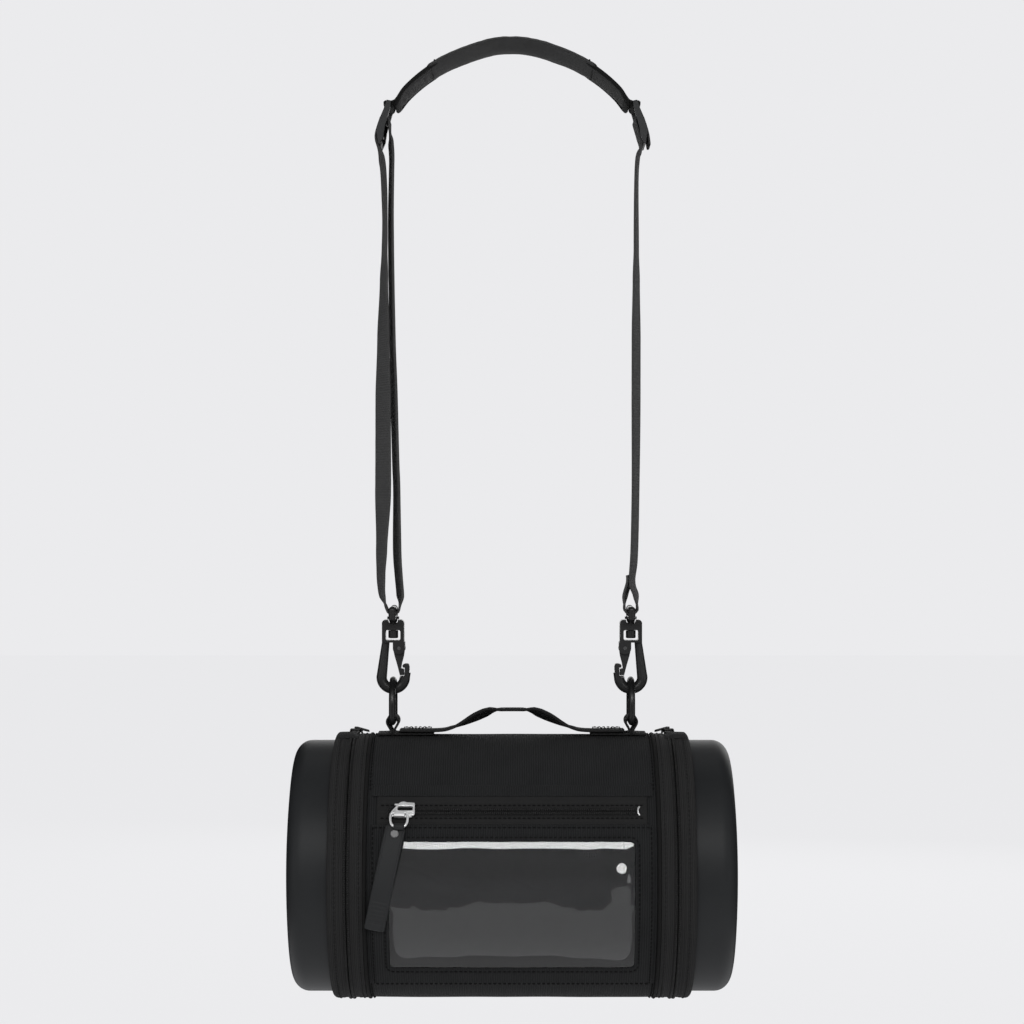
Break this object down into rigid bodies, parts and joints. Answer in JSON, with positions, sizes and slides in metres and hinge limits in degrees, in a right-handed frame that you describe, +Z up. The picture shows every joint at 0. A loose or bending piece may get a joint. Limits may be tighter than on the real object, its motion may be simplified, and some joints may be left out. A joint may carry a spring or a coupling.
{
  "type": "rope storage bag",
  "caption": "Barrel-shaped padded bag with two zipped end caps, a windowed zip pocket, a grab handle and a padded shoulder strap on swivel snap hooks.",
  "frame": {"origin": "middle of the underside of the shoulder pad, where the strap hangs from a shoulder or a peg", "axes": "+Z up, +X along the barrel towards the right-hand cap, -Y the front with the pocket"},
  "size_m": [0.296, 0.1806, 0.6395],
  "materials": {
    "woven_fabric": "matte",
    "band_fabric": "matte",
    "strap_fabric": "matte",
    "webbing": "matte",
    "lining": "matte",
    "foam": "matte",
    "binding": "matte",
    "zip_tape": "matte",
    "zip_coil": "satin",
    "moulded_cap": "satin",
    "black_plastic": "satin",
    "black_rubber": "matte",
    "clear_sheet": "gloss",
    "bright_metal": "polished",
    "black_metal": "satin",
    "ring_metal": "gloss",
    "hook_metal": "satin",
    "pin_steel": "satin"
  },
  "bodies": {
    "strap": {"pad_core": "foam", "pad_cover": "strap_fabric", "pad_sleeve": "strap_fabric", "pad_webbing": "webbing", "left_buckle": "black_plastic", "right_buckle": "black_plastic", "left_webbing": "webbing", "right_webbing": "webbing"},
    "bag": {"body_shell": "woven_fabric", "body_foam": "foam", "body_lining": "lining", "left_piping": "binding", "right_piping": "binding", "left_band_inner": "band_fabric", "right_band_inner": "band_fabric", "left_coil_inner": "zip_coil", "right_coil_inner": "zip_coil", "left_hinge_strip": "band_fabric", "right_hinge_strip": "band_fabric", "pocket_front": "woven_fabric", "pocket_window": "clear_sheet", "pocket_tape": "zip_tape", "pocket_welt": "woven_fabric", "pocket_coil": "zip_coil", "pocket_stop": "bright_metal", "handle": "webbing", "left_anchor_loop": "webbing", "right_anchor_loop": "webbing"},
    "pocket_slider": {"pocket_slider": "bright_metal"},
    "pocket_ring": {"pocket_ring": "bright_metal"},
    "pocket_pull": {"pocket_pull": "black_rubber", "pull_rivet": "black_metal"},
    "left_eye": {"left_swivel_eye": "hook_metal"},
    "left_hook": {"left_hook_body": "hook_metal", "left_gate_pin": "pin_steel", "left_gate_spring": "pin_steel"},
    "left_gate": {"left_gate": "hook_metal"},
    "left_ring": {"left_d_ring": "ring_metal"},
    "left_lid": {"left_cap": "moulded_cap", "left_cap_lining": "lining", "left_band_outer": "band_fabric", "left_coil_outer": "zip_coil", "left_hinge_flap": "band_fabric"},
    "left_end_slider": {"left_end_slider": "black_metal"},
    "left_end_pull": {"left_end_pull": "black_metal"},
    "right_eye": {"right_swivel_eye": "hook_metal"},
    "right_hook": {"right_hook_body": "hook_metal", "right_gate_pin": "pin_steel", "right_gate_spring": "pin_steel"},
    "right_gate": {"right_gate": "hook_metal"},
    "right_ring": {"right_d_ring": "ring_metal"},
    "right_lid": {"right_cap": "moulded_cap", "right_cap_lining": "lining", "right_band_outer": "band_fabric", "right_coil_outer": "zip_coil", "right_hinge_flap": "band_fabric"},
    "right_end_slider": {"right_end_slider": "black_metal"},
    "right_end_pull": {"right_end_pull": "black_metal"}
  },
  "joints": [
    {"name": "left_strap_sway", "type": "hinge", "parent": "strap", "child": "left_eye", "pos_m": [-0.0792, 0, -0.3706], "axis": [0, 1, 0], "range_deg": [-4, 4]},
    {"name": "left_hook_swivel", "type": "hinge", "parent": "left_eye", "child": "left_hook", "pos_m": [-0.0792, 0, -0.381], "axis": [0, 0, 1], "range_deg": [-25, 25]},
    {"name": "left_gate_hinge", "type": "hinge", "parent": "left_hook", "child": "left_gate", "pos_m": [-0.0752, 0, -0.3963], "axis": [0, 1, 0], "range_deg": [0, 22], "stiffness_Nm_per_rad": 0.02, "springref_deg": -20.05},
    {"name": "left_ring_swing", "type": "hinge", "parent": "left_eye", "child": "left_ring", "pos_m": [-0.0792, 0, -0.4327], "axis": [1, 0, 0], "range_deg": [-12, 12]},
    {"name": "right_strap_sway", "type": "hinge", "parent": "strap", "child": "right_eye", "pos_m": [0.0792, 0, -0.3706], "axis": [0, 1, 0], "range_deg": [-4, 4]},
    {"name": "right_hook_swivel", "type": "hinge", "parent": "right_eye", "child": "right_hook", "pos_m": [0.0792, 0, -0.381], "axis": [0, 0, 1], "range_deg": [-25, 25]},
    {"name": "right_gate_hinge", "type": "hinge", "parent": "right_hook", "child": "right_gate", "pos_m": [0.0752, 0, -0.3963], "axis": [0, -1, 0], "range_deg": [0, 22], "stiffness_Nm_per_rad": 0.02, "springref_deg": -20.05},
    {"name": "right_ring_swing", "type": "hinge", "parent": "right_eye", "child": "right_ring", "pos_m": [0.0792, 0, -0.4327], "axis": [1, 0, 0], "range_deg": [-12, 12]},
    {"name": "bag_level", "type": "hinge", "parent": "left_ring", "child": "bag", "pos_m": [-0.0792, 0, -0.4448], "axis": [0, 1, 0], "range_deg": [-4, 4]},
    {"name": "left_lid_hinge", "type": "hinge", "parent": "bag", "child": "left_lid", "pos_m": [-0.105, 0.06223, -0.47847], "axis": [0, 0.7071, -0.7071], "range_deg": [0, 100]},
    {"name": "right_lid_hinge", "type": "hinge", "parent": "bag", "child": "right_lid", "pos_m": [0.105, 0.06223, -0.47847], "axis": [0, -0.7071, 0.7071], "range_deg": [0, 100]},
    {"name": "left_end_zip", "type": "hinge", "parent": "bag", "child": "left_end_slider", "pos_m": [-0.105, 0, -0.5407], "axis": [1, 0, 0], "range_deg": [0, 280]},
    {"name": "left_end_pull_hinge", "type": "hinge", "parent": "left_end_slider", "child": "left_end_pull", "pos_m": [-0.105, 0.019, -0.4513], "axis": [0, -0.9781, 0.2079], "range_deg": [0, 115]},
    {"name": "right_end_zip", "type": "hinge", "parent": "bag", "child": "right_end_slider", "pos_m": [0.105, 0, -0.5407], "axis": [1, 0, 0], "range_deg": [0, 280]},
    {"name": "right_end_pull_hinge", "type": "hinge", "parent": "right_end_slider", "child": "right_end_pull", "pos_m": [0.105, 0.019, -0.4513], "axis": [0, 0.9781, -0.2079], "range_deg": [0, 115]},
    {"name": "pocket_zip", "type": "slide", "parent": "bag", "child": "pocket_slider", "axis": [1, 0, 0], "range_m": [0, 0.14]},
    {"name": "pocket_ring_lift", "type": "hinge", "parent": "pocket_slider", "child": "pocket_ring", "pos_m": [-0.0715, -0.08115, -0.4962], "axis": [-1, 0, 0], "range_deg": [0, 100]},
    {"name": "pocket_pull_lift", "type": "hinge", "parent": "pocket_ring", "child": "pocket_pull", "pos_m": [-0.0715, -0.08598, -0.50437], "axis": [-1, 0, 0], "range_deg": [0, 80]}
  ],
  "couplings": [
    {"joint": "right_strap_sway", "follows": "left_strap_sway", "ratio": 1},
    {"joint": "bag_level", "follows": "left_strap_sway", "ratio": -1},
    {"joint": "right_ring_swing", "follows": "left_ring_swing", "ratio": 1}
  ]
}
